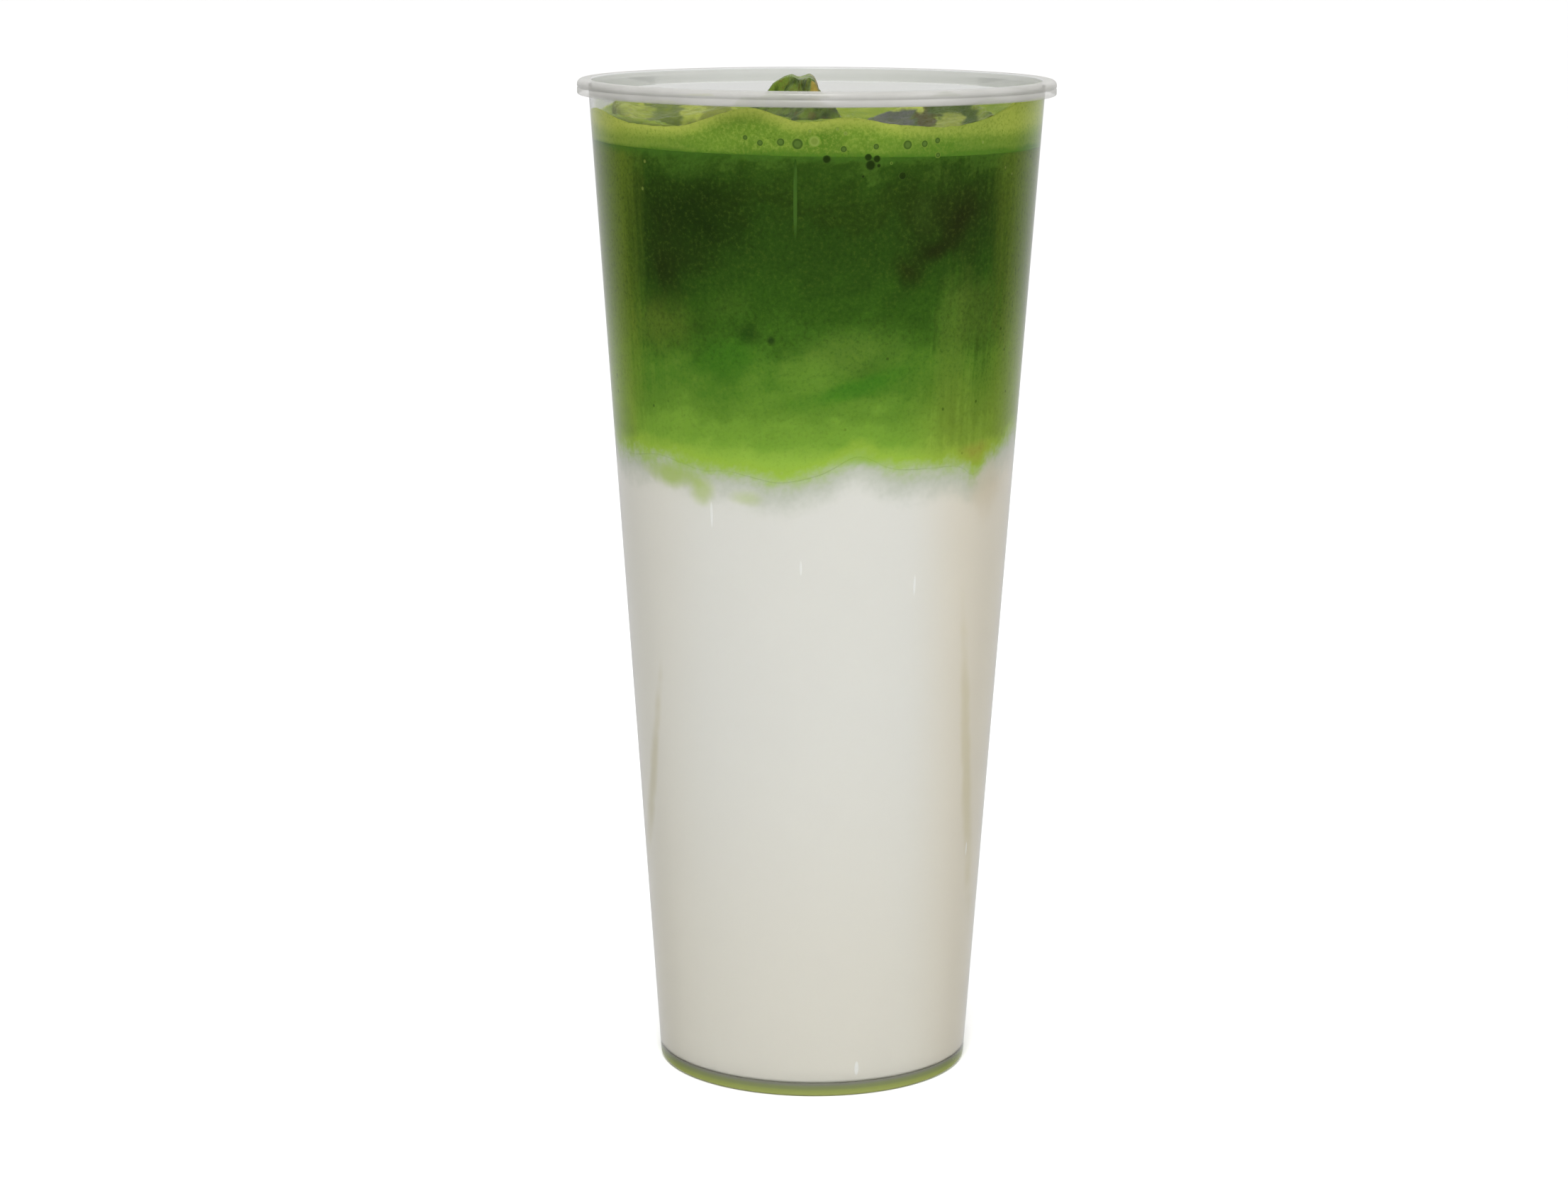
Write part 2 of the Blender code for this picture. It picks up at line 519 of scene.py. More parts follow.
    def ramp(self, value: Input, stops: Sequence[tuple[float, Colour]]) -> Socket:
        """Colour that changes along a value.

        Args:
            value: The value.
            stops: Values and their colours, rising.

        Returns:
            The colour.
        """
        low, high = stops[0][0], stops[-1][0]
        span = self.add("MapRange", {"Value": value, "From Min": low, "From Max": high})
        band = self.add("ValToRGB", {"Fac": span.outputs["Result"]})
        band.color_ramp.interpolation = "EASE"
        elements = band.color_ramp.elements
        while len(elements) < len(stops):
            elements.new(0.5)
        for element, (position, colour) in zip(elements, stops):
            element.position = (position - low) / (high - low)
            element.color = colour
        return band.outputs["Color"]

    def attribute(self, name: str) -> Socket:
        """Value of the mesh attribute of that name."""
        return self.add("Attribute", {}, attribute_name=name).outputs["Fac"]

    def bump(self, height: Input, depth_mm: float, strength: float) -> Socket:
        """Normal for a height pattern of a given depth."""
        inputs = {"Strength": strength, "Distance": depth_mm * MM, "Height": height}
        return self.add("Bump", inputs).outputs["Normal"]


def dress(name: str) -> Graph:
    """Starts a new material of that name."""
    return Graph(bpy.data.materials.new(name))


# Finishes


@dataclass(frozen=True)
class PlasticFinish:
    """Clear moulded plastic: its tints by height in millimetres, its haze and how clear it is."""

    name: str = "clear_plastic"
    tints: tuple[tuple[float, Colour], ...] = ((0.0, (0.70, 0.705, 0.69, 1.0)),)
    roughness: Span = (0.03, 0.07)
    clearness: float = 1.0
    flow_strength: float = 0.25
    flow_mm: float = 3.0
    flow_depth_mm: float = 0.02
    refraction: float = 1.38

    def build(self) -> bpy.types.Material:
        """Makes the material.

        Returns:
            The material.
        """
        graph = dress(self.name)
        place = graph.place()
        flow = graph.noise(graph.mapped(place, (1, 1, 0.12)), self.flow_mm, detail=2.0)
        tint: Input = self.tints[0][1]
        if len(self.tints) > 1:
            tint = graph.ramp(graph.axes(place)[2], self.tints)
        return graph.surface(
            Base_Color=tint,
            Roughness=graph.step(flow, 0.3, 0.8, to=self.roughness),
            IOR=self.refraction,
            Transmission_Weight=self.clearness,
            Normal=graph.bump(flow, self.flow_depth_mm, self.flow_strength),
        )


@dataclass(frozen=True)
class FrostedFinish:
    """Milky plastic of the rolled rim, which shows only a hint of what is behind it."""

    name: str = "frosted_rim"
    cover: float = 0.60
    tint: Colour = (0.30, 0.295, 0.27, 1.0)
    milky: Colour = (0.36, 0.355, 0.33, 1.0)
    cloud_mm: float = 9.0
    roughness: float = 0.28
    gloss: float = 0.35

    def build(self) -> bpy.types.Material:
        """Makes the material.

        Returns:
            The material.
        """
        graph = dress(self.name)
        cloudy = graph.noise(graph.place(), self.cloud_mm, detail=2.0)
        return graph.surface(
            Base_Color=graph.mix(graph.step(cloudy, 0.3, 0.7, to=(0.0, 0.6)), self.tint, self.milky),
            Roughness=self.roughness,
            Alpha=self.cover,
            Specular_IOR_Level=self.gloss,
        )


@dataclass(frozen=True)
class Cloud:
    """A cloud in the drink, or a painted reflection streak, just behind the wall.

    The centre and the reach are x and z in millimetres. The tilt is in degrees and rises to the right.
    """

    centre_mm: Point
    reach_mm: Point
    tint: Colour
    share: float
    tilt: float = 0.0
    soft: float = 1.0


@dataclass(frozen=True)
class SideBand:
    """Painted light: a paler band beside the cup's edge, where the view passes through less drink, from
    nothing at the first x to full at the second.
    """

    reach_mm: Span
    upper: Colour
    lower: Colour


@dataclass(frozen=True)
class DrinkFinish:
    """Milk and matcha, clouded where they meet. Both layers wear it.

    Lengths are in millimetres. Names that end in _lump are sizes of a pattern, _sway is how far it
    moves an edge, _x and _z are spans across and in height, and _rise is a span over the milk line.
    """

    form: CupForm
    milk: Colour = tone(240, 239, 234)
    milk_low: Colour = tone(240, 237, 228)
    milk_side: Colour = tone(238, 232, 219)
    veil: Colour = tone(205, 210, 196)
    fringe: Colour = tone(177, 208, 80)
    olive: Colour = tone(142, 150, 58)
    foamy: Colour = tone(82, 124, 42)
    dark: Colour = tone(40, 54, 17)
    greens: tuple[tuple[float, Colour], ...] = (
        (118.0, tone(180, 215, 93)),
        (122.0, tone(170, 207, 85)),
        (127.0, tone(136, 178, 66)),
        (132.3, tone(114, 157, 55)),
        (138.8, tone(96, 142, 46)),
        (145.3, tone(74, 116, 35)),
        (151.8, tone(62, 100, 29)),
        (158.0, tone(56, 89, 27)),
        (165.0, tone(54, 85, 26)),
        (171.0, tone(53, 79, 24)),
        (176.5, tone(60, 92, 28)),
        (178.6, tone(76, 110, 37)),
    )
    # Painted light: paler bands at both sides stand in for the matcha looking lighter near the edges, where
    # the view passes through less of it.
    painted_edge_light_bands: tuple[SideBand, ...] = (
        SideBand((-30.0, -37.0), tone(112, 134, 46), tone(146, 172, 64)),
        SideBand((30.2, 38.2), tone(108, 130, 46), tone(146, 168, 68)),
    )
    clouds: tuple[Cloud, ...] = (
        Cloud((-23.5, 176.0), (5.5, 2.8), tone(80, 118, 40), 0.7),
        Cloud((-21.5, 167.5), (13.0, 9.5), tone(36, 55, 17), 0.9, 0.0, 1.2),
        Cloud((-28.0, 158.0), (4.6, 12.0), tone(44, 58, 20), 0.8, 0.0, 1.2),
        Cloud((-23.5, 159.0), (8.5, 5.0), tone(42, 56, 20), 0.55, 0.0, 1.2),
        Cloud((24.5, 168.0), (13.0, 10.5), tone(48, 60, 23), 0.8, 0.0, 1.2),
        Cloud((19.3, 168.5), (2.6, 4.4), tone(66, 92, 34), 0.5),
        Cloud((25.9, 165.5), (2.4, 5.8), tone(42, 47, 20), 0.75, -20.0, 1.2),
        Cloud((21.4, 161.2), (5.6, 2.6), tone(42, 47, 20), 0.85, 24.0, 1.2),
        Cloud((16.6, 157.6), (4.0, 3.0), tone(46, 52, 21), 0.75, -38.0, 1.2),
        Cloud((-12.1, 146.2), (2.4, 2.4), tone(44, 74, 24), 0.7),
        Cloud((-8.0, 145.2), (0.8, 0.8), tone(40, 64, 24), 0.8),
        Cloud((-16.0, 141.5), (6.5, 4.5), tone(64, 122, 30), 0.6, 20.0),
        Cloud((5.5, 142.5), (12.0, 5.5), tone(116, 152, 58), 0.6, 12.0),
        Cloud((-2.0, 139.0), (6.5, 4.0), tone(124, 166, 60), 0.55, 10.0),
        Cloud((7.0, 136.4), (12.0, 2.2), tone(72, 136, 36), 0.65, 17.0),
        Cloud((24.6, 141.0), (3.6, 19.0), tone(112, 146, 54), 0.5, 0.0, 0.9),
        Cloud((28.5, 149.0), (5.5, 8.0), tone(98, 124, 46), 0.55),
        Cloud((-29.0, 146.5), (8.5, 7.0), tone(108, 132, 48), 0.65, 12.0, 1.2),
        Cloud((-16.0, 151.0), (6.0, 3.0), tone(84, 118, 40), 0.4, 20.0, 1.2),
        Cloud((29.5, 122.5), (5.0, 2.6), tone(196, 178, 84), 0.55),
        Cloud((15.0, 119.5), (2.6, 1.8), tone(182, 206, 92), 0.5),
    )
    patches: tuple[Cloud, ...] = (
        # Painted reflections: these first two are long, thin darker streaks near the milk's sides that
        # stand in for reflections in the wall.
        Cloud((28.8, 62.0), (1.1, 35.0), tone(222, 214, 184), 0.6, 2.0),
        Cloud((-30.4, 58.3), (0.9, 24.0), tone(220, 214, 190), 0.65, -4.4),
        Cloud((8.8, 124.6), (8.0, 2.6), tone(164, 202, 80), 0.85, 0.0, 0.8),
        Cloud((-26.3, 119.0), (6.0, 2.4), tone(184, 206, 112), 0.8, -6.0, 0.9),
        Cloud((-20.6, 116.6), (2.6, 3.4), tone(190, 210, 120), 0.65),
        Cloud((-12.2, 115.9), (3.6, 1.7), tone(200, 216, 146), 0.55),
        Cloud((31.5, 116.0), (4.0, 7.0), tone(222, 212, 188), 0.6, 0.0, 1.2),
    )
    swirl_lump: float = 12.0
    curl_lump: float = 3.2
    curl_stretch: tuple[float, float, float] = (0.45, 0.6, 1.0)
    small_lump: float = 1.1
    streak_lump: float = 1.2
    streak_stretch: tuple[float, float, float] = (1.0, 1.0, 0.04)
    ragged_lump: float = 5.0
    speck_lump: float = 3.2
    sparse_lump: float = 8.0
    grain_lump: float = 0.7
    cloud_depth: float = 25.0
    cloud_rag: float = 0.9
    cloud_edge: float = 0.75
    curl_lean: float = 25.0
    swirl_sway: float = 18.0
    curl_sway: float = 13.0
    streak_sway: Span = (9.0, 26.0)
    band_sway: float = 5.0
    froth_line_sway: float = 3.0
    edge_sway: Span = (5.0, 2.4)
    streak_right_x: Span = (17.0, 24.0)
    streak_left_x: Span = (-24.0, -30.0)
    streak_z: Span = (175.0, 160.0)
    swirl_z: Span = (119.0, 136.0)
    olive_x: Span = (14.0, 26.0)
    olive_z: Span = (150.0, 122.0)
    band_z: Span = (160.0, 130.0)
    pepper_z: Span = (122.0, 150.0)
    froth_line_z: Span = (176.8, 178.8)
    milk_low_z: Span = (80.0, 10.0)
    milk_right_x: Span = (16.0, 29.0)
    milk_left_x: Span = (-18.0, -30.0)
    fringe_rise: Span = (4.5, 0.5)
    veil_rise: Span = (-7.5, -0.5)
    meeting_rise: Span = (-2.6, 2.2)

    def _cloud_share(self, graph: Graph, place: Input, ragged: Input, cloud: Cloud) -> Socket:
        """How much of a cloud is seen at each point.

        Args:
            graph: The material's nodes.
            place: Object coordinates.
            ragged: Noise that frays the cloud's edge.
            cloud: The cloud.

        Returns:
            The share.
        """
        x, z = (part * MM for part in cloud.centre_mm)
        wide, high = (part * MM for part in cloud.reach_mm)
        inputs = {
            "Vector": place,
            "Location": (x, -math.sqrt(self.form.wall_radius(z) ** 2 - x**2), z),
            "Rotation": (0.0, math.radians(-cloud.tilt), 0.0),
            "Scale": (wide, self.cloud_depth * MM, high),
        }
        moved = graph.add("Mapping", inputs, vector_type="TEXTURE").outputs[0]
        length = graph.add("VectorMath", {0: moved}, operation="LENGTH").outputs["Value"]
        reach = graph.math("SUBTRACT", length, graph.product(ragged, self.cloud_rag))
        return graph.step(reach, self.cloud_edge, self.cloud_edge - cloud.soft, to=(0.0, cloud.share))

    def _clouded(self, graph: Graph, place: Input, colour: Input, clouds: Iterable[Cloud]) -> Socket:
        """A colour with clouds over it.

        Args:
            graph: The material's nodes.
            place: Object coordinates.
            colour: The colour.
            clouds: What lies over it.

        Returns:
            The clouded colour.
        """
        ragged = graph.noise(place, self.ragged_lump, detail=4.0, roughness=0.55)
        shares = ((self._cloud_share(graph, place, ragged, cloud), cloud.tint) for cloud in clouds)
        return graph.washed(colour, shares)

    def _matcha(self, graph: Graph, place: Input, curls: Input, edge: Input) -> Socket:
        """Green of the matcha.

        Args:
            graph: The material's nodes.
            place: Object coordinates.
            curls: Noise of leaning curls.
            edge: Uneven height over the milk line, in millimetres.

        Returns:
            The colour.
        """
        x, _y, z = graph.axes(place)
        upright = graph.mapped(place, self.streak_stretch)
        streaks = graph.noise(upright, self.streak_lump, detail=4.0, roughness=0.6)
        left = graph.step(x, *self.streak_left_x, to=(0.0, 0.5))
        sides = graph.total(graph.step(x, *self.streak_right_x), left)
        sides = graph.product(sides, graph.step(z, *self.streak_z, to=self.streak_sway))
        clouds = graph.noise(place, self.swirl_lump, detail=4.0, roughness=0.55, distortion=0.8)
        sways = (
            graph.sway(clouds, self.swirl_sway),
            graph.sway(curls, self.curl_sway),
            graph.sway(streaks, sides),
        )
        level = graph.total(z, graph.product(graph.step(z, *self.swirl_z), graph.total(*sways)))
        green = self._clouded(graph, place, graph.ramp(level, self.greens), self.clouds)
        mild = graph.product(graph.step(x, *self.olive_x, to=(0.0, 0.4)), graph.step(z, *self.olive_z))
        lower = graph.step(z, *self.band_z)
        drawn = graph.total(x, graph.sway(streaks, self.band_sway))
        specks = graph.step(graph.cells(place, self.speck_lump), 0.13, 0.05)
        sparse = graph.step(graph.noise(place, self.sparse_lump, detail=1.0), 0.56, 0.62)
        grain = graph.noise(place, self.grain_lump, detail=3.0, roughness=0.7)
        deep = graph.step(z, *self.pepper_z, to=(0.3, 1.0))
        pepper = graph.product(graph.step(grain, 0.48, 0.72, to=(0.0, 0.36)), deep)
        uneven = graph.total(z, graph.sway(curls, self.froth_line_sway))
        froth_line = graph.step(uneven, *self.froth_line_z, to=(0.0, 0.7))
        washes = [(mild, self.olive)]
        # Paler bands painted beside the edges stand in for edge lightening.
        for band in self.painted_edge_light_bands:
            washes.append((graph.step(drawn, *band.reach_mm), graph.mix(lower, band.upper, band.lower)))
        washes += [
            (graph.product(specks, sparse, 0.55), self.dark),
            (pepper, self.dark),
            (graph.step(grain, 0.50, 0.28, to=(0.0, 0.06)), self.fringe),
            (froth_line, self.foamy),
            (graph.step(edge, *self.fringe_rise, to=(0.0, 0.65)), self.fringe),
        ]
        return graph.washed(green, washes)

    def _milk(self, graph: Graph, place: Input, edge: Input) -> Socket:
        """White of the milk.

        Args:
            graph: The material's nodes.
            place: Object coordinates.
            edge: Uneven height over the milk line, in millimetres.

        Returns:
            The colour.
        """
        x, _y, z = graph.axes(place)
        washes = (
            (graph.step(z, *self.milk_low_z), self.milk_low),
            (graph.step(x, *self.milk_right_x), self.milk_side),
            (graph.step(x, *self.milk_left_x, to=(0.0, 0.3)), self.milk_side),
            (graph.step(edge, *self.veil_rise, to=(0.0, 0.95)), self.veil),
        )
        return self._clouded(graph, place, graph.washed(self.milk, washes), self.patches)

    def build(self) -> bpy.types.Material:
        """Makes the material.

        Returns:
            The material.
        """
        graph = dress("milk_and_matcha")
        place = graph.place()
        leaning = graph.mapped(graph.mapped(place, lean=self.curl_lean), self.curl_stretch)
        curls = graph.noise(leaning, self.curl_lump, detail=5.0, roughness=0.6)
        small = graph.noise(place, self.small_lump, detail=4.0)
        sways = (graph.sway(pattern, reach) for pattern, reach in zip((curls, small), self.edge_sway))
        edge = graph.total(graph.attribute("rise_mm"), *sways)
        matcha = self._matcha(graph, place, curls, edge)
        milk = self._milk(graph, place, edge)
        return graph.surface(
            Base_Color=graph.mix(graph.step(edge, *self.meeting_rise), milk, matcha),
            Roughness=0.6,
            Specular_IOR_Level=0.0,
        )


@dataclass(frozen=True)
class FrothFinish:
    """Fine green froth, paler at its crest, with tiny bubbles.

    Lengths are in millimetres, and the names end as in the drink's finish.
    """

    pale: Colour = tone(178, 196, 88)
    mid: Colour = tone(134, 168, 62)
    deep: Colour = tone(92, 132, 40)
    crest: Colour = tone(200, 210, 100)
    wet: Colour = tone(92, 136, 44)
    open_pale: Colour = tone(128, 142, 56)
    open_deep: Colour = tone(104, 124, 42)
    cloud_lump: float = 9.0
    grain_lump: float = 0.6
    pit_lump: float = 0.8
    sparse_lump: float = 3.0
    open_lump: float = 4.5
    crest_sway: float = 1.2
    wet_sway: float = 3.0
    middle_x: float = -4.0
    middle_reach: Span = (24.0, 4.0)
    right_x: Span = (12.0, 20.0)
    right_end_x: Span = (36.0, 30.0)
    pale_x: Span = (24.0, 38.0)
    left_x: Span = (-26.0, -40.0)
    crest_depth: Span = (3.4, 0.4)
    soaked_z: Span = (182.8, 180.0)
    wet_z: Span = (179.6, 178.4)
    open_depth: Span = (0.2, 0.8)
    relief: float = 0.12

    def _open(self, graph: Graph, place: Input) -> Socket:
        """Colour of the froth's open top, which the light reaches unveiled."""
        patches = graph.noise(place, self.open_lump, detail=4.0, distortion=0.4)
        return graph.mix(graph.step(patches, 0.34, 0.70), self.open_deep, self.open_pale)

    def build(self) -> bpy.types.Material:
        """Makes the material.

        Returns:
            The material.
        """
        graph = dress("froth")
        place = graph.place()
        x, _y, z = graph.axes(place)
        clouds = graph.noise(place, self.cloud_lump, detail=3.0, distortion=0.5)
        grain = graph.noise(place, self.grain_lump, detail=3.0, roughness=0.7)
        few = graph.step(graph.noise(place, self.sparse_lump, detail=1.0), 0.50, 0.62)
        pits = graph.product(graph.step(graph.cells(place, self.pit_lump), 0.30, 0.10), few)
        aside = graph.math("ABSOLUTE", graph.math("SUBTRACT", x, self.middle_x))
        middle = graph.step(aside, *self.middle_reach)
        shade = graph.total(graph.product(middle, 0.45), graph.product(clouds, 0.75))
        below = graph.total(graph.attribute("below_mm"), graph.product(clouds, self.crest_sway))
        low = graph.total(z, graph.sway(clouds, self.wet_sway))
        flank = graph.math("SUBTRACT", 1.0, middle)
        ending = graph.step(x, *self.right_end_x, to=(0.0, 0.35))
        right = graph.product(graph.step(x, *self.right_x), ending)
        washes = (
            (graph.step(below, *self.crest_depth, to=(0.0, 0.92)), self.crest),
            (right, self.wet),
            (graph.step(x, *self.pale_x, to=(0.0, 0.5)), self.pale),
            (graph.step(x, *self.left_x, to=(0.0, 0.9)), self.crest),
            (graph.step(grain, 0.45, 0.68, to=(0.0, 0.32)), self.crest),
            (graph.step(grain, 0.52, 0.30, to=(0.0, 0.32)), self.deep),
            (graph.product(pits, 0.35), self.deep),
            (graph.product(graph.step(low, *self.soaked_z, to=(0.0, 0.5)), flank), self.wet),
            (graph.step(low, *self.wet_z, to=(0.0, 0.8)), self.wet),
            (graph.step(graph.attribute("inward_mm"), *self.open_depth), self._open(graph, place)),
        )
        body = graph.ramp(shade, ((0.15, self.pale), (0.55, self.mid), (1.0, self.deep)))
        relief = graph.math("SUBTRACT", graph.product(grain, 0.5), pits)
        return graph.surface(
            Base_Color=graph.washed(body, washes),
            Roughness=0.9,
            Specular_IOR_Level=0.0,
            Normal=graph.bump(relief, self.relief, 0.6),
        )


@dataclass(frozen=True)
class IcePatch:
    """A strip of another tone on a cube, between two values of x and above a height."""

    reach_mm: Span
    tint: Colour
    share: float = 0.85
    above_mm: float = 0.0


@dataclass(frozen=True)
class IceFinish:
    """Wet ice, filmed with froth and with strips that are bare, brown, thickly covered or a painted
    highlight.
    """

    film: Colour = tone(106, 120, 44)
    film_dark: Colour = tone(56, 74, 24)
    brown: Colour = tone(84, 78, 34)
    patches: tuple[IcePatch, ...] = ()
    coat_mm: float = 4.5
    ridge_mm: float = 1.4
    sway_mm: Span = (8.0, 3.0)
    edge_mm: Span = (1.0, 0.4)
    relief_mm: float = 0.6

    def build(self) -> bpy.types.Material:
        """Makes the material.

        Returns:
            The material.
        """
        graph = dress("ice")
        place = graph.place()
        x, _y, z = graph.axes(place)
        coat = graph.noise(place, self.coat_mm, detail=4.0, distortion=0.8)
        ridge = graph.noise(place, self.ridge_mm, detail=4.0)
        ragged = graph.total(x, graph.sway(coat, self.sway_mm[0]))
        uneven = graph.total(z, graph.sway(coat, self.sway_mm[1]))
        film = graph.mix(graph.step(coat, 0.40, 0.56), self.film_dark, self.film)
        washes = [(graph.step(ridge, 0.54, 0.66, to=(0.0, 0.7)), self.brown)]
        for patch in self.patches:
            low, high = patch.reach_mm
            soft, rise = self.edge_mm
            within = graph.product(
                graph.step(ragged, low, low + soft),
                graph.step(ragged, high, high - soft),
                graph.step(uneven, patch.above_mm - rise, patch.above_mm + rise),
                patch.share,
            )
            speckled = graph.mix(graph.step(ridge, 0.45, 0.70, to=(0.0, 0.4)), patch.tint, self.film_dark)
            washes.append((within, speckled))
        return graph.surface(
            Base_Color=graph.washed(film, washes),
            Roughness=graph.step(ridge, 0.3, 0.7, to=(0.25, 0.50)),
            Specular_IOR_Level=0.03,
            Normal=graph.bump(ridge, self.relief_mm, 0.6),
        )


@dataclass(frozen=True)
class BubbleFinish:
    """A bubble or a painted highlight mark against the wall: its middle, its ring and its soft edge."""

    name: str
    middle: Colour
    ring: Colour
    edge: Colour

    def build(self) -> bpy.types.Material:
        """Makes the material.

        Returns:
            The material.
        """
        graph = dress(self.name)
        stops = ((0.0, self.middle), (0.45, self.middle), (0.72, self.ring), (1.0, self.edge))
        return graph.surface(
            Base_Color=graph.ramp(graph.attribute("from_middle"), stops),
            Roughness=0.5,
            Specular_IOR_Level=0.0,
        )


@dataclass(frozen=True)
class MottledFinish:
    """A plain finish mottled with a second tone: the skin of froth bubbles, or the studio's floor."""

    name: str
    colour: Colour
    other: Colour
    mottle_mm: float
    roughness: float
    gloss: float

    def build(self) -> bpy.types.Material:
        """Makes the material.

        Returns:
            The material.
        """
        graph = dress(self.name)
        mottle = graph.noise(graph.place(), self.mottle_mm, detail=2.0)
        return graph.surface(
            Base_Color=graph.mix(mottle, self.colour, self.other),
            Roughness=self.roughness,
            Specular_IOR_Level=self.gloss,
        )


DOME_SKIN = MottledFinish("froth_bubble", tone(126, 140, 58), tone(96, 118, 42), 2.0, 0.3, 0.12)
FLOOR = MottledFinish("floor", (0.82, 0.82, 0.815, 1.0), (0.84, 0.84, 0.835, 1.0), 60.0, 0.8, 0.1)


# Sub-assemblies


class CupPart(IntEnum):
    """The parts of the cup with a finish of their own, numbered as its material slots."""

    WALL = 0
    RIM = 1
    HOLLOW = 2
    FOOT = 3
    LIP = 4


@dataclass
class Cup:
    """The clear plastic cup."""

    form: CupForm
    segments: int = 192
    foot_top: float = 2.7 * MM
    groove_place: float = 0.52
    groove_depth: float = 0.12 * MM
    groove_half: float = 0.20 * MM
    groove_flat: float = 0.08 * MM
    wall_chamfer: float = 0.2 * MM
    inner_chamfer: float = 0.15 * MM
    foot_chamfer: float = 0.1 * MM
    gate_taper: float = 0.9
    lip_share: float = 0.3
    hollow_gap: float = 0.1 * MM
    hollow_share: float = 0.6
    wall_finish: PlasticFinish = PlasticFinish()
    rim_finish: FrostedFinish = FrostedFinish()
    hollow_finish: FrostedFinish = FrostedFinish("rim_hollow", 0.05)
    # Painted light: the rim's frosted plastic again in a paler tone, to offset the shade on the inner faces
    # of the lip.
    lip_painted_light_finish: FrostedFinish = FrostedFinish(
        "frosted_lip_painted_light", 0.60, (0.49, 0.49, 0.50, 1.0), (0.53, 0.53, 0.54, 1.0)
    )
    foot_finish: PlasticFinish = PlasticFinish(
        "tinted_foot",
        (
            (0.2, (0.38, 0.42, 0.13, 1.0)),
            (1.0, (0.27, 0.31, 0.09, 1.0)),
            (1.7, (0.20, 0.23, 0.10, 1.0)),
            (2.7, (0.20, 0.20, 0.17, 1.0)),
        ),
        (0.10, 0.20), 0.35, 0.0,
    )

    def _part_of(self, face: bmesh.types.BMFace) -> CupPart:
        """Finds the part that a face belongs to.

        Args:
            face: A face of the cup.

        Returns:
            The part.
        """
        form = self.form
        middle = face.calc_center_median()
        if middle.z <= form.height - form.rim_depth:
            return CupPart.FOOT if middle.z < self.foot_top else CupPart.WALL
        across = middle.xy.length
        if across < form.bore_radius(middle.z) + self.lip_share * form.wall:
            return CupPart.LIP
        inner = form.wall_radius(middle.z) - self.hollow_gap
        outer = form.rim_radius - self.hollow_share * form.skirt
        hollow = inner < across < outer and middle.z < form.height - form.skirt / 2
        return CupPart.HOLLOW if hollow else CupPart.RIM

    def profile(self) -> list[Point]:
        """Draws the section, from the floor's centre up the inside, over the rim and under the base.

        Returns:
            Its points as radius and height.
        """
        form = self.form
        bore = form.bore_radius(form.floor + form.corner)
        mouth = form.bore_radius(form.height)
        lip = form.wall / 2
        hem = form.skirt / 2
        rim_foot = form.height - form.rim_depth
        groove = form.height - form.rim_depth * self.groove_place
        under_rim = form.height - form.skirt
        heel = form.wall_radius(form.foot_round)
        step = heel - form.foot_round - form.foot_width
        outer = form.rim_radius
        inside = [
            (0.0, form.floor),
            *arc((bore - form.corner, form.floor + form.corner), form.corner, -90, 0, 8),
            (form.bore_radius(rim_foot), rim_foot),
            *arc((mouth + lip, form.height - lip), lip, 180, 90, 6),
        ]
        rim = [
            *arc((outer - form.rim_round, form.height - form.rim_round), form.rim_round, 90, 0, 8),
            (outer, groove + self.groove_half),
            (outer - self.groove_depth, groove + self.groove_flat),
            (outer - self.groove_depth, groove - self.groove_flat),
            (outer, groove - self.groove_half),
            *arc((outer - hem, rim_foot + hem), hem, 0, -180, 8),
            (outer - form.skirt, under_rim - self.inner_chamfer),
            (outer - form.skirt - self.inner_chamfer, under_rim),
            (form.wall_radius(under_rim) + self.wall_chamfer, under_rim),
            (form.wall_radius(under_rim), under_rim - self.wall_chamfer),
            (form.wall_radius(self.foot_top), self.foot_top),
        ]
        foot = [
            *arc((heel - form.foot_round, form.foot_round), form.foot_round, 0, -90, 6),
            (step + self.foot_chamfer, 0.0),
            (step, self.foot_chamfer),
            (step - form.foot_slope, form.foot_recess - self.inner_chamfer),
            (step - form.foot_slope - self.inner_chamfer, form.foot_recess),
            (form.gate_radius + self.foot_chamfer, form.foot_recess),
            (form.gate_radius, form.foot_recess - self.foot_chamfer),
            (form.gate_radius * self.gate_taper, form.foot_recess - form.gate_drop),
            (0.0, form.foot_recess - form.gate_drop),
        ]
        return inside + rim + foot

    def build(self) -> bpy.types.Object:
        """Builds the cup in place of its solid.

        Returns:
            The cup.
        """
        body = turned(held(self.profile()), self.segments)
        for face in body.faces:
            face.material_index = self._part_of(face)
        finishes = {
            CupPart.RIM: self.rim_finish,
            CupPart.HOLLOW: self.hollow_finish,
            CupPart.FOOT: self.foot_finish,
            CupPart.LIP: self.lip_painted_light_finish,
        }
        made = piece("cup_shell", body, self.wall_finish.build())
        for part in sorted(finishes):
            made.data.materials.append(finishes[part].build())
        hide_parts("cup")
        return made


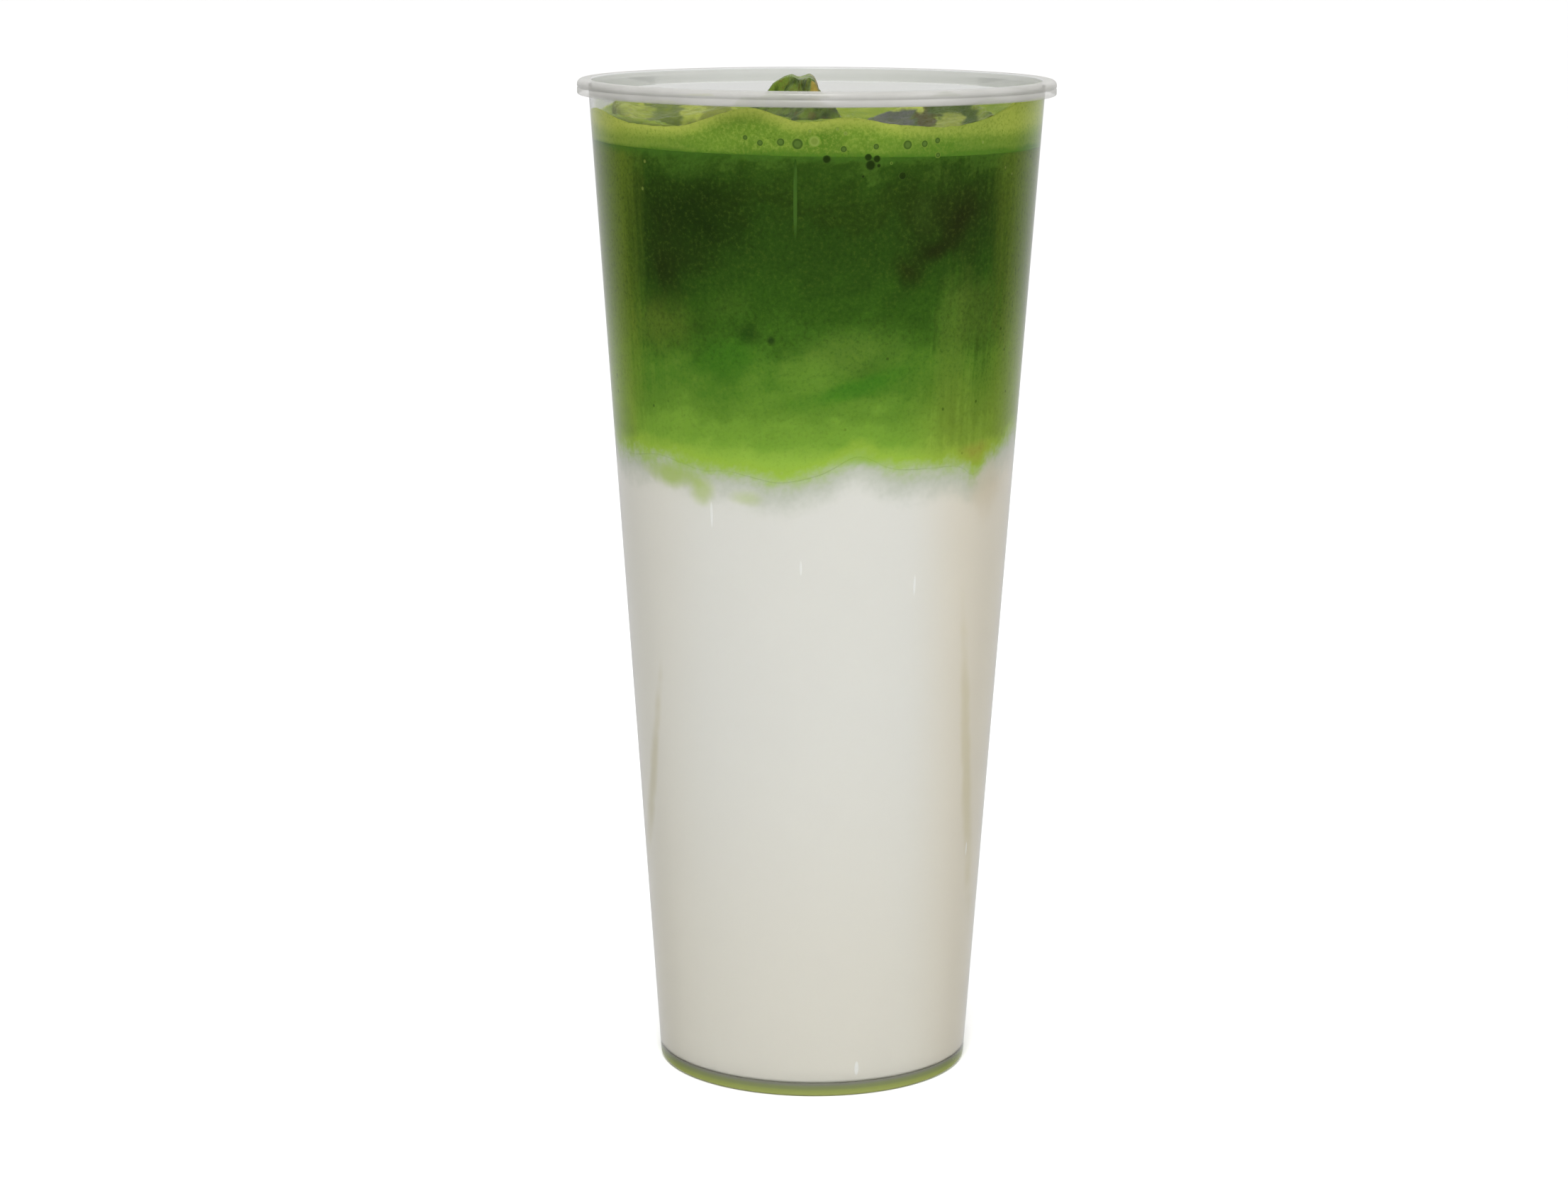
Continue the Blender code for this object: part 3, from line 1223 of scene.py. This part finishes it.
@dataclass
class Layer:
    """A body that fills the cup between two surfaces."""

    form: CupForm
    bottom: Surface
    top: Surface
    segments: int = 256
    rings_above: int = 24
    rings_below: int = 24
    rows: int = 2
    foot_round: float = 0.0
    hold: float = 0.15 * MM

    def _drum(self) -> list[Point]:
        """Draws a drum of radius 1 and height 1, with a ring and a row held close to its edges.

        Returns:
            Its section, from the top's centre to the bottom's.
        """
        low, high = self.bottom(0, 0), self.top(0, 0)
        edge = self.hold / (high - low)
        near_edge = 1 - self.hold / self.form.wall_top
        above = [(ring / self.rings_above, 1.0) for ring in range(self.rings_above)]
        above += [(near_edge, 1.0), (1.0, 1.0), (1.0, 1 - edge)]
        side = [(1.0, 1 - row / self.rows) for row in range(1, self.rows)]
        if self.foot_round:
            across = self.foot_round / self.form.fill_radius(low)
            up = self.foot_round / (high - low)
            foot = [(1 + across * (x - 1), up * (1 + z)) for x, z in arc((0, 0), 1, 0, -90, 8)]
            return above + side + foot + [(0.0, 0.0)]
        below = [(ring / self.rings_below, 0.0) for ring in range(self.rings_below - 1, -1, -1)]
        return above + side + [(1.0, edge), (1.0, 0.0), (near_edge, 0.0)] + below

    def shape(self) -> bmesh.types.BMesh:
        """Brings each point of the drum to its share of the radius and of the height.

        Returns:
            The layer's shape.
        """
        body = turned(self._drum(), self.segments)
        low, high = self.bottom(0, 0), self.top(0, 0)
        for vertex in body.verts:
            across, up = vertex.co.xy.copy(), vertex.co.z
            height = low + up * (high - low)
            for _ in range(4):
                place = across * self.form.fill_radius(height)
                under = self.bottom(place.x, place.y)
                height = under + up * (self.top(place.x, place.y) - under)
            vertex.co = (place.x, place.y, height)
        return body


@dataclass
class Drink:
    """The milk and the matcha."""

    levels: Levels
    foot_round: float = 1.0 * MM

    def build(self) -> list[bpy.types.Object]:
        """Builds both layers in place of their solids, with each point's height over the milk line.

        Returns:
            The milk and the matcha.
        """
        levels = self.levels
        material = DrinkFinish(levels.form).build()
        milk = Layer(levels.form, levels.floor, levels.milk, foot_round=self.foot_round)
        matcha = Layer(levels.form, levels.milk, levels.matcha)
        made = []
        for name, layer in (("milk", milk), ("matcha", matcha)):
            body = piece(name + "_layer", layer.shape(), material)
            places = (vertex.co for vertex in body.data.vertices)
            store(body, "rise_mm", [(z - levels.milk(x, y)) / MM for x, y, z in places])
            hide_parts(name)
            made.append(body)
        return made


@dataclass
class Ice:
    """The ice cubes, grown from their solids into lumpy, melting cubes."""

    form: CupForm
    headroom: float = 0.02 * MM
    voxel: float = 0.55 * MM
    smooth_rounds: int = 3
    melt: float = 0.40 * MM
    swell: float = 0.45 * MM
    lump: float = 3.5 * MM
    finishes: tuple[IceFinish, ...] = (
        IceFinish(
            film=tone(138, 147, 60), film_dark=tone(118, 130, 50), brown=tone(108, 114, 48),
            patches=(
                IcePatch((-31.6, -24.6), tone(74, 88, 34)),
                IcePatch((-20.2, -15.5), tone(92, 98, 42), 0.7),
            ),
        ),
        IceFinish(
            patches=(
                IcePatch((9.5, 17.6), tone(78, 78, 76)),
                IcePatch((17.2, 22.6), tone(62, 56, 24), 0.9),
                IcePatch((22.2, 27.0), tone(124, 132, 56), 0.9),
                IcePatch((26.4, 31.0), tone(50, 68, 16), 0.9),
                IcePatch((20.5, 28.0), tone(50, 68, 16), 0.9, 183.9),
                IcePatch((7.0, 20.5), tone(146, 156, 66), 1.0, 184.1),
            ),
        ),
        IceFinish(
            film=tone(86, 104, 36), film_dark=tone(46, 62, 20),
            patches=(
                # Painted highlight: a pale strip high on the peaked cube.
                IcePatch((-3.6, -1.6), tone(132, 140, 68), 0.25, 186.6),
                IcePatch((-1.0, 1.6), tone(124, 104, 48), 0.8, 186.6),
            ),
        ),
        IceFinish(),
        IceFinish(),
    )
    peaked_index: int = 3
    peak_foot: float = 184.0 * MM
    peak_lift: float = 2.6 * MM
    peak_lean: float = 1.2 * MM
    peak_reach: float = 3.0 * MM
    chip: float = 0.5 * MM
    chip_lump: float = 1.5 * MM
    chip_clear_mm: Span = (-5.0, 1.0)
    outline_mm: tuple[Point, ...] = (
        (-20.0, 184.0),
        (-10.2, 185.8),
        (-8.4, 188.2),
        (-6.0, 189.6),
        (-4.9, 189.85),
        (-3.4, 189.2),
        (-1.4, 189.98),
        (-0.5, 189.5),
        (0.2, 188.0),
        (0.5, 186.4),
        (12.0, 185.2),
    )

    def _cube(self, node: bpy.types.Object) -> bmesh.types.BMesh:
        """Fine closed mesh of a cube's solid, worn by melting.

        Args:
            node: The solid.

        Returns:
            The cube's shape.
        """
        merged = bmesh.new()
        merged.from_mesh(node.data)
        bmesh.ops.remove_doubles(merged, verts=merged.verts, dist=WELD)
        helper = linked("cube", mesh_of("cube", merged))
        remesh = helper.modifiers.new("even", "REMESH")
        remesh.mode = "VOXEL"
        remesh.voxel_size = self.voxel
        graph = bpy.context.evaluated_depsgraph_get()
        body = bmesh.new()
        body.from_mesh(bpy.data.meshes.new_from_object(helper.evaluated_get(graph)))
        bpy.data.objects.remove(helper)
        for _ in range(self.smooth_rounds):
            worn(body, 0.5)
        body.normal_update()
        for vertex in body.verts:
            lumps = lumpy(vertex.co, self.lump, 4)
            vertex.co += vertex.normal * (self.swell + self.melt * lumps)
            vertex.co.z = min(vertex.co.z, self.form.height - self.headroom)
        return body

    def _peak(self, body: bmesh.types.BMesh) -> None:
        """Draws the top of a cube up into two worn peaks.

        Args:
            body: The cube's shape.
        """
        left, right = self.chip_clear_mm
        for vertex in body.verts:
            over = vertex.co.z - self.peak_foot
            if over <= 0:
                continue
            share = min(1.0, over / self.peak_reach)
            vertex.co.z += self.peak_lift * share
            vertex.co.x -= self.peak_lean * share
            x = vertex.co.x / MM
            for (x0, z0), (x1, z1) in zip(self.outline_mm, self.outline_mm[1:]):
                if x0 <= x <= x1:
                    limit = (z0 + (z1 - z0) * (x - x0) / (x1 - x0)) * MM
                    chip = abs(noise.noise(vertex.co / self.chip_lump)) * self.chip
                    vertex.co.z = min(vertex.co.z, limit - chip * (x0 < left or x > right))
        worn(body, 0.3)

    def build(self) -> list[bpy.types.Object]:
        """Builds the cubes, each in place of its solid.

        Returns:
            The cubes.
        """
        made = []
        for index, finish in enumerate(self.finishes, start=1):
            node = f"ice_{index}"
            body = self._cube(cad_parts[node])
            if index == self.peaked_index:
                self._peak(body)
            cube = piece(f"ice_cube_{index}", body, finish.build())
            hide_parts(node)
            made.append(cube)
        return made


@dataclass
class Froth:
    """The froth on the matcha, which clings to the wall and to the ice."""

    levels: Levels
    ice: BVHTree
    relief: float = 0.16 * MM
    relief_lump: float = 1.8 * MM
    cling: float = 0.6 * MM
    cling_reach: float = 1.2 * MM
    dip: float = 1.2 * MM
    dip_reach: float = 9.0 * MM
    films: tuple[Bump, ...] = (Bump(80, 26, 8.0), Bump(-75, 15, 1.2))
    film_reach: float = 0.9 * MM
    film_top: float = 187.0 * MM
    finish: FrothFinish = FrothFinish()

    def top(self, x: float, y: float) -> float:
        """Top of the froth with its dip, its films on the wall and its fine relief.

        Args:
            x: Place across.
            y: Place in depth.

        Returns:
            The height.
        """
        inward = max(0.0, self.levels.form.bore_radius(self.levels.froth_top) - math.hypot(x, y))
        base = self.levels.froth(x, y) - self.dip * min(1.0, inward / self.dip_reach) ** 2
        base += swell(self.films, x, y) * math.exp(-inward / self.film_reach)
        base = min(base, self.film_top)
        lumps = lumpy(Vector((x, y, 0.0)), self.relief_lump, 3) * self.relief
        near = self.ice.find_nearest(Vector((x, y, base)))[3]
        return base + lumps + self.cling * math.exp(-near / self.cling_reach)

    def build(self) -> bpy.types.Object:
        """Builds the froth in place of its solid, with each point's way from the wall and the crest.

        Returns:
            The froth.
        """
        levels = self.levels
        layer = Layer(
            levels.form, levels.matcha, self.top,
            segments=320, rings_above=84, rings_below=4, rows=4,
        )
        made = piece("froth_layer", layer.shape(), self.finish.build())
        places = [tuple(vertex.co) for vertex in made.data.vertices]
        inward = [(levels.form.fill_radius(z) - math.hypot(x, y)) / MM for x, y, z in places]
        store(made, "inward_mm", inward)
        store(made, "below_mm", [(levels.froth(x, y) - z) / MM for x, y, z in places])
        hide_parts("froth")
        return made


@dataclass(frozen=True)
class WallBubble:
    """A bubble or a painted highlight mark against the front of the wall, at an azimuth in degrees and
    drawn out upright.
    """

    azimuth: float
    height_mm: float
    radius_mm: float
    stretch: float = 1.0


@dataclass(frozen=True)
class BubbleGroup:
    """Bubbles or painted highlight marks of one finish, which make one piece."""

    finish: BubbleFinish
    bubbles: tuple[WallBubble, ...]


FOAM_EDGE = tone(136, 168, 66)
# Painted shade inside a bubble's hollow.
BUBBLE_HOLLOW_SHADE = tone(42, 62, 20)
WALL_BUBBLES = (
    # Real bubbles at the wall whose dark middles and rings are painted shade inside their hollows.
    BubbleGroup(
        BubbleFinish("bubbles_painted_shade", BUBBLE_HOLLOW_SHADE, BUBBLE_HOLLOW_SHADE, tone(70, 98, 36)),
        (
            WallBubble(2.5, 178.0, 0.74), WallBubble(13.3, 176.9, 0.92), WallBubble(15.4, 176.8, 0.36),
            WallBubble(21.6, 174.9, 0.74), WallBubble(11.5, 174.9, 0.28), WallBubble(12.7, 178.3, 0.66),
            WallBubble(14.9, 178.0, 0.66),
        ),
    ),
    BubbleGroup(
        BubbleFinish("bubbles_soft", tone(100, 128, 56), tone(78, 104, 42), FOAM_EDGE),
        (
            WallBubble(-17.5, 181.7, 0.52), WallBubble(-13.8, 180.8, 0.64), WallBubble(-8.7, 181.0, 0.80),
            WallBubble(-4.6, 180.7, 1.12), WallBubble(6.6, 179.8, 0.66), WallBubble(14.6, 180.2, 0.60),
            WallBubble(22.7, 180.4, 0.96), WallBubble(27.3, 180.5, 0.72), WallBubble(30.9, 181.0, 0.62),
            WallBubble(31.2, 178.4, 0.55), WallBubble(18.6, 177.2, 0.26),
        ),
    ),
    BubbleGroup(
        BubbleFinish("bubbles_pale", tone(138, 160, 72), tone(154, 174, 84), FOAM_EDGE),
        (
            WallBubble(-0.5, 181.2, 1.05), WallBubble(45.5, 180.3, 0.34), WallBubble(-1.6, 183.0, 0.36),
            WallBubble(5.0, 183.4, 0.36), WallBubble(7.0, 182.6, 0.44),
        ),
    ),
    BubbleGroup(
        BubbleFinish("bubbles_faint", tone(124, 142, 66), tone(112, 132, 58), tone(84, 104, 38)),
        (
            WallBubble(-48.0, 176.5, 0.40), WallBubble(-49.5, 171.5, 0.42), WallBubble(55.5, 175.3, 0.40),
            WallBubble(59.0, 174.0, 0.40),
        ),
    ),
    # Painted highlight: two pale green streaks in front of the matcha that stand in for a lamp's reflection
    # in the wall.
    BubbleGroup(
        BubbleFinish("painted_highlight_streaks", tone(78, 115, 44), tone(68, 102, 37), tone(54, 86, 27)),
        (WallBubble(-5.2, 170.6, 0.34, 22.0), WallBubble(-5.0, 174.4, 0.20, 18.0)),
    ),
    # Painted highlights: white spots and short streaks in front of the milk and the foot that stand in for
    # the lamps' reflections in the wall.
    BubbleGroup(
        BubbleFinish("painted_glints", tone(252, 252, 250), tone(250, 250, 247), tone(244, 243, 238)),
        (
            WallBubble(-30.4, 112.3, 0.26, 9.5), WallBubble(-3.9, 103.2, 0.20, 7.5),
            WallBubble(30.4, 99.2, 0.24, 8.5), WallBubble(63.5, 44.8, 0.22, 6.0),
            WallBubble(16.4, 5.4, 0.40, 3.6),
        ),
    ),
)


@dataclass
class Bubbles:
    """Bubbles and painted highlight streaks and spots pressed against the wall, and domes on the froth."""

    froth: Froth
    groups: tuple[BubbleGroup, ...] = WALL_BUBBLES
    thickness: float = 0.16 * MM
    shown: float = 0.78
    domes: int = 260
    dome_sizes: Span = (0.22 * MM, 0.75 * MM)
    dome_squash: float = 0.75
    dome_sink: float = 0.25
    scattered: float = 0.12
    ice_crowd: float = 2.5 * MM
    wall_crowd: float = 4.0 * MM
    wall_gap: float = 0.6 * MM
    seed: int = 5

    def _discs(self, group: BubbleGroup) -> bpy.types.Object:
        """Makes flat bubbles or painted highlight marks that stand a little proud of the drink, inside the
        wall.

        Args:
            group: The bubbles and their finish.

        Returns:
            One piece with all of them.
        """
        form = self.froth.levels.form
        body = bmesh.new()
        marks = []
        lean = math.atan((form.wall_top - form.wall_foot) / (form.height - form.rim_depth))
        for bubble in group.bubbles:
            azimuth, height = math.radians(bubble.azimuth), bubble.height_mm * MM
            depth = form.fill_radius(height) - self.thickness * math.sqrt(1 - self.shown**2)
            place = Vector((math.sin(azimuth) * depth, -math.cos(azimuth) * depth, height))
            turn = Matrix.Rotation(azimuth, 4, "Z") @ Matrix.Rotation(lean, 4, "X")
            radius = bubble.radius_mm * MM / self.shown
            scale = Matrix.Diagonal((radius, self.thickness, radius * bubble.stretch, 1.0))
            ball = bmesh.ops.create_icosphere(
                body, subdivisions=3, radius=1.0, matrix=Matrix.Translation(place) @ turn @ scale
            )
            reach = radius * bubble.stretch * self.shown
            marks += [min(1.0, (vertex.co - place).length / reach) for vertex in ball["verts"]]
        made = piece(group.finish.name, body, group.finish.build())
        store(made, "from_middle", marks)
        return made

    def _domes(self) -> bpy.types.Object:
        """Makes domes of all sizes on the froth, thickest beside the wall and the ice.

        Returns:
            One piece with all of them.
        """
        draw = random.Random(self.seed)
        levels = self.froth.levels
        reach = levels.form.bore_radius(levels.froth_top) - self.wall_gap
        small, spread = self.dome_sizes
        squash = Matrix.Diagonal((1.0, 1.0, self.dome_squash, 1.0))
        body = bmesh.new()
        kept = 0
        while kept < self.domes:
            angle, share = draw.uniform(0, math.tau), math.sqrt(draw.uniform(0.0, 1.0))
            x, y = math.cos(angle) * share * reach, math.sin(angle) * share * reach
            height = self.froth.top(x, y)
            near = self.froth.ice.find_nearest(Vector((x, y, height)))[3]
            crowd = math.exp(-near / self.ice_crowd) + math.exp(-(1 - share) * reach / self.wall_crowd)
            if draw.random() > self.scattered + crowd:
                continue
            radius = small + spread * draw.random() ** 4
            place = Matrix.Translation((x, y, height - radius * self.dome_sink))
            bmesh.ops.create_icosphere(body, subdivisions=2, radius=radius, matrix=place @ squash)
            kept += 1
        return piece("froth_domes", body, DOME_SKIN.build())

    def build(self) -> list[bpy.types.Object]:
        """All the bubbles."""
        return [*(self._discs(group) for group in self.groups), self._domes()]


class LightRole(Enum):
    """What a studio light is for."""

    KEY = "key"
    FILL = "fill"


@dataclass(frozen=True)
class SoftLight:
    """A square soft light that faces the cup, with its azimuth and elevation in degrees."""

    role: LightRole
    azimuth: float
    elevation: float
    distance: float
    side: float
    power: float


@dataclass
class Studio:
    """Floor, light and camera, whose pitch, yaw and roll are in radians."""

    form: CupForm
    camera_distance: float = 704.84 * MM
    camera_height: float = 227.21 * MM
    pitch: float = 0.1892
    yaw: float = -0.0083
    roll: float = 0.0033
    lens_mm: float = 85.45
    sensor_mm: float = 36.0
    sight: Span = (0.01, 50.0)
    floor_radius: float = 9.0
    sky: float = 1.25
    behind_viewer: float = 0.03
    behind_cup: float = 0.60
    dim_y: Span = (0.45, 0.95)
    dim_z: Span = (0.0, 0.25)
    lights: tuple[SoftLight, ...] = (
        SoftLight(LightRole.KEY, -5.0, 52.0, 1.1, 0.30, 9.0),
        SoftLight(LightRole.FILL, 60.0, 35.0, 1.4, 0.60, 4.0),
    )

    def _floor(self) -> None:
        """Lays a wide plain floor."""
        body = bmesh.new()
        bmesh.ops.create_circle(body, cap_ends=True, segments=96, radius=self.floor_radius)
        mesh = mesh_of("floor", body)
        mesh.materials.append(FLOOR.build())
        floor = linked("floor", mesh)
        floor.visible_glossy = False

    def _sky(self) -> None:
        """Sets even light from all round, dim where the wall would mirror it to the viewer."""
        graph = Graph(bpy.data.worlds.new("studio"))
        _x, y, z = graph.axes(graph.add("TexCoord", {}).outputs["Generated"], 1.0)
        low = graph.step(y, *self.dim_y, to=(self.behind_viewer, self.behind_cup))
        level = graph.mix(graph.step(z, *self.dim_z), low, self.sky, "FLOAT")
        camera = graph.add("LightPath", {}).outputs["Is Camera Ray"]
        background = graph.nodes["Background"].inputs
        graph.put(background["Strength"], graph.mix(camera, level, self.sky, "FLOAT"))
        graph.put(background["Color"], (1.0, 1.0, 1.0, 1.0))
        bpy.context.scene.world = graph.owner

    def _light(self, light: SoftLight) -> None:
        """Hangs one light so that it faces the cup.

        Args:
            light: The light.
        """
        lamp = bpy.data.lights.new(light.role.value, "AREA")
        lamp.shape = "SQUARE"
        lamp.size = light.side
        lamp.energy = light.power
        azimuth, elevation = math.radians(light.azimuth), math.radians(light.elevation)
        level = math.cos(elevation)
        out = Vector((math.sin(azimuth) * level, -math.cos(azimuth) * level, math.sin(elevation)))
        hung = linked(light.role.value, lamp)
        hung.location = out * light.distance + Vector((0, 0, self.form.height / 2))
        hung.rotation_euler = out.to_track_quat("Z", "Y").to_euler()

    def _camera(self) -> None:
        """Sets the camera at the photo's place, turned a little and rolled a hair."""
        data = bpy.data.cameras.new("camera")
        data.lens, data.sensor_width = self.lens_mm, self.sensor_mm
        data.clip_start, data.clip_end = self.sight
        level = math.cos(self.pitch)
        forward = Vector((math.sin(self.yaw) * level, math.cos(self.yaw) * level, -math.sin(self.pitch)))
        right = forward.cross(Vector((0, 0, 1))).normalized()
        up = right.cross(forward)
        across = right * math.cos(self.roll) + up * math.sin(self.roll)
        above = up * math.cos(self.roll) - right * math.sin(self.roll)
        turn = Matrix((across, above, -forward)).transposed().to_4x4()
        camera = linked("camera", data)
        camera.matrix_world = Matrix.Translation((0, -self.camera_distance, self.camera_height)) @ turn
        bpy.context.scene.camera = camera

    def build(self) -> None:
        """Sets up the studio."""
        self._floor()
        self._sky()
        for light in self.lights:
            self._light(light)
        self._camera()
        bpy.context.scene.view_settings.view_transform = "Standard"


def report(pieces: Iterable[bpy.types.Object]) -> None:
    """Logs each piece with its number of faces."""
    for made in pieces:
        LOG.info("%s: %d faces", made.name, len(made.data.polygons))


def main() -> None:
    """Builds the latte and its studio."""
    logging.basicConfig(level=logging.INFO, format="%(name)s %(message)s")
    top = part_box("cup")[1]
    form = CupForm(height=top.z, rim_radius=top.x)
    levels = Levels(form)
    report([Cup(form).build()])
    report(Drink(levels).build())
    cubes = Ice(form).build()
    report(cubes)
    froth = Froth(levels, faces_of(cubes))
    report([froth.build()])
    report(Bubbles(froth).build())
    Studio(form).build()


if __name__ == "__main__":
    main()
